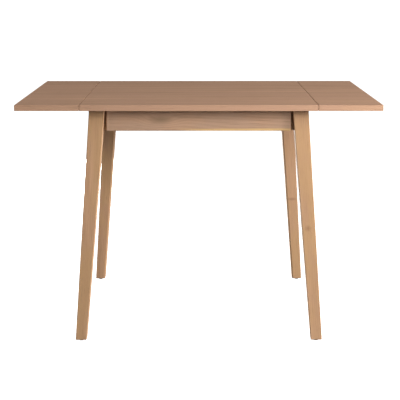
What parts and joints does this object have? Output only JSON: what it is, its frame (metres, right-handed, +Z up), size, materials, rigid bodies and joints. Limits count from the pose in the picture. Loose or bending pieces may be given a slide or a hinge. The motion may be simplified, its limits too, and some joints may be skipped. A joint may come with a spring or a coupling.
{
  "type": "drop leaf table",
  "caption": "Wooden drop leaf table: fixed centre panel on splayed tapered legs and aprons, with an end leaf on each side that folds down on hinges and locks level.",
  "frame": {"origin": "on the floor, under the middle of the table top with both leaves raised", "axes": "+X along the top from the left leaf to the right leaf, -Y towards the front long edge, +Z up"},
  "size_m": [1.11, 0.7, 0.75],
  "materials": {
    "top_wood": "stained, satin lacquer, fine straight grain along the top",
    "leg_wood": "stained, matt lacquer, straight grain along the leg",
    "apron_wood": "stained, matt lacquer, flat-sawn grain along the apron",
    "block_wood": "planed, unfinished",
    "zinc_steel": "bright zinc plated",
    "hinge_steel": "pressed steel, satin nickel plated",
    "pin_steel": "turned steel",
    "screw_steel": "yellow zinc plated",
    "spring_steel": "tempered spring steel",
    "glide_plastic": "moulded, fine matt"
  },
  "bodies": {
    "frame": {"centre_panel": "top_wood", "front_apron": "apron_wood", "rear_apron": "apron_wood", "left_end_apron": "apron_wood", "right_end_apron": "apron_wood", "front_left_leg": "leg_wood", "front_left_corner_block": "block_wood", "front_right_leg": "leg_wood", "front_right_corner_block": "block_wood", "rear_left_leg": "leg_wood", "rear_left_corner_block": "block_wood", "rear_right_leg": "leg_wood", "rear_right_corner_block": "block_wood", "hanger_bolts": "zinc_steel", "bolt_washers": "zinc_steel", "bolt_nuts": "zinc_steel", "block_screws": "screw_steel", "top_brackets": "zinc_steel", "top_bracket_screws": "screw_steel", "foot_glides": "glide_plastic", "left_fixed_hinge_plates": "hinge_steel", "left_hinge_pins": "pin_steel", "left_fixed_hinge_screws": "screw_steel", "left_lock_brackets": "hinge_steel", "left_lock_bracket_screws": "screw_steel", "left_pivot_pins": "pin_steel", "left_catch_springs": "spring_steel", "left_catch_rivets": "pin_steel", "right_fixed_hinge_plates": "hinge_steel", "right_hinge_pins": "pin_steel", "right_fixed_hinge_screws": "screw_steel", "right_lock_brackets": "hinge_steel", "right_lock_bracket_screws": "screw_steel", "right_pivot_pins": "pin_steel", "right_catch_springs": "spring_steel", "right_catch_rivets": "pin_steel"},
    "left_leaf": {"left_leaf": "top_wood", "left_leaf_hinge_plates": "hinge_steel", "left_leaf_hinge_screws": "screw_steel", "left_lock_arms": "hinge_steel", "left_lock_arm_screws": "screw_steel"},
    "right_leaf": {"right_leaf": "top_wood", "right_leaf_hinge_plates": "hinge_steel", "right_leaf_hinge_screws": "screw_steel", "right_lock_arms": "hinge_steel", "right_lock_arm_screws": "screw_steel"}
  },
  "joints": [
    {"name": "left_leaf_fold", "type": "hinge", "parent": "frame", "child": "left_leaf", "pos_m": [-0.36025, 0, 0.727], "axis": [0, -1, 0], "range_deg": [0, 90], "deforming": ["left_catch_springs"]},
    {"name": "right_leaf_fold", "type": "hinge", "parent": "frame", "child": "right_leaf", "pos_m": [0.36025, 0, 0.727], "axis": [0, 1, 0], "range_deg": [0, 90], "deforming": ["right_catch_springs"]}
  ]
}
